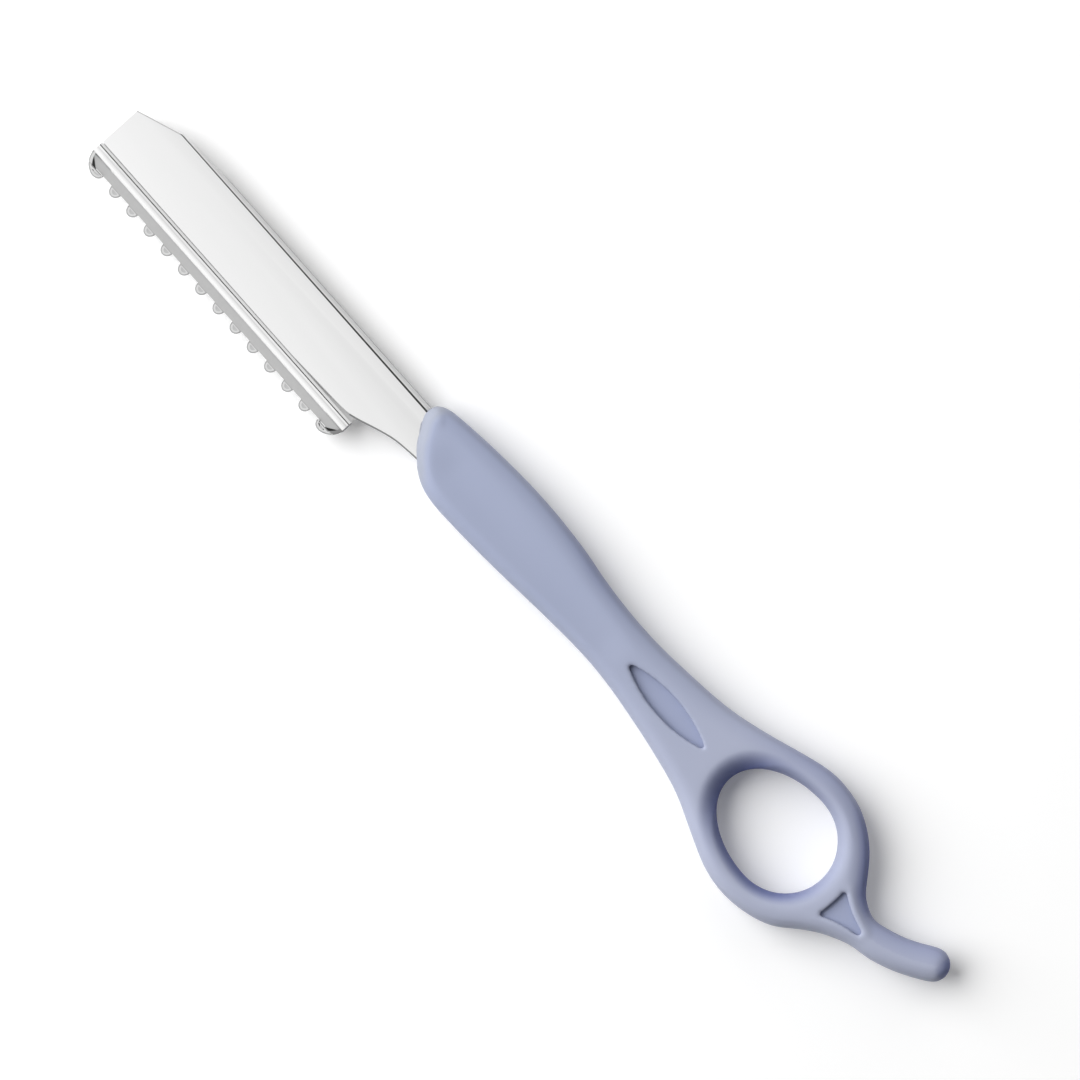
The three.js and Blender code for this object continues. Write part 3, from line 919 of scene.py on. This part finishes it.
# %% [markdown]
# The curved edge by the handle was ground back after stamping, so it gets a wide chamfer, and so
# does the slanted edge of the toe. A modifier would take every edge alike, so these two are
# picked by the way that their walls face. The guard covers the far end of the curve's chamfer.
# The chamfer still runs on under it, because a chamfer that ends in a curve leaves a dent. The
# seen part of the curve's chamfer is painted dark grey, a painted shade; the covered part and
# the toe's chamfer get a mid grey. On the fold a light strip is painted in a lighter grey, a
# painted reflection, with a darker grey outside it where the steel turns down, a painted shade.

# %% Chamfer the curve and the toe
CURVE_CHAMFER, TOE_CHAMFER = 0.28 * MM, 0.2 * MM
CURVE_END = 10 * MM
CURVE_PAST_CREASE = 3 * MM
COVERED_FROM = 1.5 * MM
PLUMB = 0.1
FACES_WAY = 0.3

guard_low, guard_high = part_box("comb_guard")


def upper(edge):
    return len(edge.link_faces) == 2 and min(end.co.z for end in edge.verts) >= mid_height


def wall_under(edge):
    """The upright face under an upper edge of the leaf, if the edge is one."""
    if not upper(edge):
        return None
    top, wall = sorted(edge.link_faces, key=lambda face: -face.normal.z)
    return wall if top.normal.z > FACING_UP and upright(wall, PLUMB) else None


def on_curve(edge):
    wall = wall_under(edge)
    return (wall and wall.normal.y > FACES_WAY
            and max(end.co.x for end in edge.verts) < guard_low.x + CURVE_END
            and min(end.co.y for end in edge.verts) > crease_y + CURVE_PAST_CREASE)


def on_slant(edge):
    wall = wall_under(edge)
    return wall and wall.normal.x > FACES_WAY and wall.normal.y < -FACES_WAY


def chamfer(bm, edges, width):
    """Cuts the edges off flat and returns the new faces."""
    return bmesh.ops.bevel(
        bm, geom=edges, offset=width, offset_type="OFFSET", segments=1,
        profile=0.5, affect="EDGES", material=-1, clamp_overlap=False)["faces"]


head_mesh.normal_update()
curve = chamfer(head_mesh, [edge for edge in head_mesh.edges if on_curve(edge)], CURVE_CHAMFER)
# Painted shade: the seen part of the curve's chamfer is painted dark grey.
paint(curve, head_finishes, shade_edge_steel)
covered = [face for face in curve
           if face.calc_center_median().x > guard_low.x + COVERED_FROM]
paint(covered, head_finishes, spine_steel)
slant = chamfer(head_mesh, [edge for edge in head_mesh.edges if on_slant(edge)], TOE_CHAMFER)
paint(slant, head_finishes, spine_steel)
print("faces on the curve:", len(curve), "and on the slant:", len(slant))

# %% Finish the fold and soften the sheet
SHEET_EDGE = 0.05 * MM
FOLD_STARTS, FOLD_STEEP = -0.05, -0.8


def on_fold(face):
    middle = face.calc_center_median()
    return middle.y < crease_y and middle.z > mid_height and face.normal.y < FOLD_STARTS


fold = [face for face in head_mesh.faces if on_fold(face)]
# Painted reflection and shade: a lighter grey on the fold, a darker grey where it turns steeply
# down.
paint(fold, head_finishes, light_face_steel)
paint([face for face in fold if face.normal.y < FOLD_STEEP], head_finishes, shade_rim_steel)
print("faces on the fold:", len(fold))
head = finished("folded_head", head_mesh, head_finishes)
soften_edges(head, SHEET_EDGE)
stands_for(head, "blade_holder", "handle")

# %% [markdown]
# ## The comb guard
#
# A sprung strip with a round bead and a comb of small round teeth behind the edge. Each tooth is
# pressed: its rim falls away, and its middle is a shallow dish. We could model one tooth and
# repeat it, but the end teeth are larger. Inset draws the same rings on all of them at once, and
# moving corners down makes the fall and the dish.

# %% Press the teeth
TOOTH_FALL = 0.22 * MM
TOOTH_CRESCENT = 0.32 * MM
TOOTH_DISH = 0.06 * MM
LEAST_TOOTH = 0.8 * MM
TOUCH = 0.01 * MM

_, blade_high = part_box("blade")
guard_finishes = [
    guard_steel, groove_shade, shade_rim_steel, tooth_steel, light_face_steel, shade_edge_steel]
guard_mesh = merged_copy("comb_guard")
whole_faces(guard_mesh)
cut(guard_mesh, (0, blade_high.y, 0), (0, 1, 0))


def is_tooth(face):
    places = [corner.co.y for corner in face.verts]
    return (face.normal.z > FACING_UP and max(places) - min(places) > LEAST_TOOTH
            and face.calc_center_median().y > blade_high.y)


def corners_of(faces):
    return {corner for face in faces for corner in face.verts}


def ring_in(faces, width):
    """Draws a ring inside each face, and returns the faces of the rings."""
    return bmesh.ops.inset_individual(guard_mesh, faces=faces, thickness=width)["faces"]


teeth = [face for face in guard_mesh.faces if is_tooth(face)]
tooth_rims = ring_in(teeth, TOOTH_FALL)
# Painted shade: the falling rims of the teeth are painted a darker grey.
paint(tooth_rims, guard_finishes, shade_rim_steel)
for corner in corners_of(tooth_rims) - corners_of(teeth):
    if corner.co.y > blade_high.y + TOUCH:
        corner.co.z -= TOOTH_FALL
# Painted highlight: a lighter grey ring inside each rim.
paint(ring_in(teeth, TOOTH_CRESCENT), guard_finishes, light_face_steel)
paint(teeth, guard_finishes, tooth_steel)
for corner in corners_of(teeth):
    corner.co.z -= TOOTH_DISH
print("teeth:", len(teeth))

# %% [markdown]
# Between the leaf and the bead lies a groove. In the photograph it is one dark line. Black paint
# on the whole groove would make it a band, so we bring the bead's foot up and inwards, which
# leaves the groove narrow. Each end of the guard is open, with an arm that reaches over the
# blade. Arms and openings are told apart by their height.

# %% Narrow the groove
BEAD_FOOT, BEAD_FLANK = 0.75 * MM, 0.99 * MM
FOOT_DROP, FLANK_DROP = 0.36 * MM, 0.24 * MM
GROOVE_START, GROOVE_END = 0.43 * MM, 0.62 * MM
END_OPENING = 2.8 * MM

for end_x in (guard_low.x + END_OPENING, guard_high.x - END_OPENING):
    cut(guard_mesh, (end_x, 0, 0), (1, 0, 0))


def from_leaf(point):
    """How far a point lies from the side of the guard that meets the leaf."""
    return point.y - guard_low.y


bead = [corner for corner in guard_mesh.verts if corner.co.z >= mid_height
        and BEAD_FOOT - LEVEL < from_leaf(corner.co) < BEAD_FLANK]
foot = [corner for corner in bead if from_leaf(corner.co) < BEAD_FOOT + LEVEL]
groove_floor = min(corner.co.z for corner in foot)
for corner in foot:
    corner.co.y = guard_low.y + GROOVE_END
for corner in bead:
    if corner.co.z > groove_floor + LEVEL:
        share = (from_leaf(corner.co) - GROOVE_END) / (BEAD_FLANK - GROOVE_END)
        drop = FOOT_DROP + share * (FLANK_DROP - FOOT_DROP)
        corner.co.z = max(corner.co.z, guard_high.z - drop)
guard_mesh.normal_update()
print("groove in mm:", round((GROOVE_END - GROOVE_START) / MM, 2), "foot corners:", len(foot))

# %% Finish the groove, the arms and the open ends
BEAD_SIDE = 2.0 * MM
OPENING_PAST_EDGE = 0.3 * MM


def by_groove(face):
    middle = face.calc_center_median()
    return face.normal.z > 0 and middle.z > mid_height and from_leaf(middle) < GROOVE_END


def in_groove(face):
    middle = face.calc_center_median()
    return middle.z > mid_height and GROOVE_START < from_leaf(middle) < GROOVE_END


def at_heel(point):
    return point.x - guard_low.x < guard_high.x - point.x


def level_by_end(face):
    middle = face.calc_center_median()
    end_x = guard_low.x if at_heel(middle) else guard_high.x
    return face.normal.z > FACING_UP and abs(middle.x - end_x) < END_OPENING


def in_arm(face):
    middle = face.calc_center_median()
    return (level_by_end(face) and middle.z > mid_height
            and guard_low.y + BEAD_SIDE < middle.y < blade_high.y)


def in_open_end(face):
    middle = face.calc_center_median()
    return (level_by_end(face) and middle.z < mid_height
            and middle.y < blade_high.y + OPENING_PAST_EDGE)


arms = [face for face in guard_mesh.faces if in_arm(face)]
dark = [face for face in guard_mesh.faces if in_groove(face) or in_open_end(face)]
# Painted light: the rail's top beside the groove is painted a light grey.
paint([face for face in guard_mesh.faces if by_groove(face)], guard_finishes, light_face_steel)
# Painted shade and light: the arms at the heel are painted dark grey, those at the toe a light
# grey.
for face in arms:
    heel = at_heel(face.calc_center_median())
    paint([face], guard_finishes, shade_edge_steel if heel else light_face_steel)
# Painted shade: the narrow groove and the open ends are painted near black.
paint(dark, guard_finishes, groove_shade)
print("arms:", len(arms), "dark faces:", len(dark))

# %% [markdown]
# The ends of the strip were cut and then ground, so they have a slanted edge. Its chamfer
# carries painted shade: dark grey at the heel, a lighter grey at the toe. At the toe only the
# arm shows it. A bevel modifier would take both ends alike, so we pick the edges, as on the
# head. A chamfer on a round bead leans out past the end, so afterwards every corner is drawn
# back inside.

# %% Chamfer the ends
GUARD_EDGE = 0.05 * MM
END_CHAMFER, END_INSET = 0.22 * MM, 0.02 * MM
END_FACING = 0.7
TOP_RISE, TOP_LEAN = 0.05, 0.3


def on_end(edge, end_x, way):
    """True for an upper edge of the guard's end whose wall faces the way, -1 or 1 along X."""
    if not upper(edge):
        return False
    top, wall = sorted(edge.link_faces, key=lambda face: way * face.normal.x)
    near = max(abs(end.co.x - end_x) for end in edge.verts) < END_OPENING
    return (near and way * wall.normal.x > END_FACING
            and top.normal.z > TOP_RISE and abs(top.normal.x) < TOP_LEAN)


heel_end = [edge for edge in guard_mesh.edges if on_end(edge, guard_low.x, -1)]
# Painted shade on the chamfer of the heel end.
paint(chamfer(guard_mesh, heel_end, END_CHAMFER), guard_finishes, shade_edge_steel)
toe_end = [
    edge for edge in guard_mesh.edges if on_end(edge, guard_high.x, 1)
    and min(end.co.y for end in edge.verts) > guard_low.y + BEAD_SIDE
]
# Painted shade, a little lighter, on the chamfer of the toe's arm.
paint(chamfer(guard_mesh, toe_end, END_CHAMFER), guard_finishes, shade_rim_steel)
for corner in guard_mesh.verts:
    corner.co.x = min(max(corner.co.x, guard_low.x + END_INSET), guard_high.x - END_INSET)
print("heel edges:", len(heel_end), "toe edges:", len(toe_end))
guard = finished("toothed_guard", guard_mesh, guard_finishes)
soften_edges(guard, GUARD_EDGE)
stands_for(guard, "comb_guard", "guard")

# %% [markdown]
# ## The blade
#
# Only the ground bevel of the blade shows, as a dull grey strip between the bead and the teeth.
# A ground bevel is flat and meets the blade's face in a crisp line. Smooth shading would round
# that line off, so the blade alone is shaded flat.

# %% Dress the blade
blade_mesh = merged_copy("blade")
whole_faces(blade_mesh)
blade = finished("ground_blade", blade_mesh, [blade_steel])
for face in blade.data.polygons:
    face.use_smooth = False
stands_for(blade, "blade", "blade")
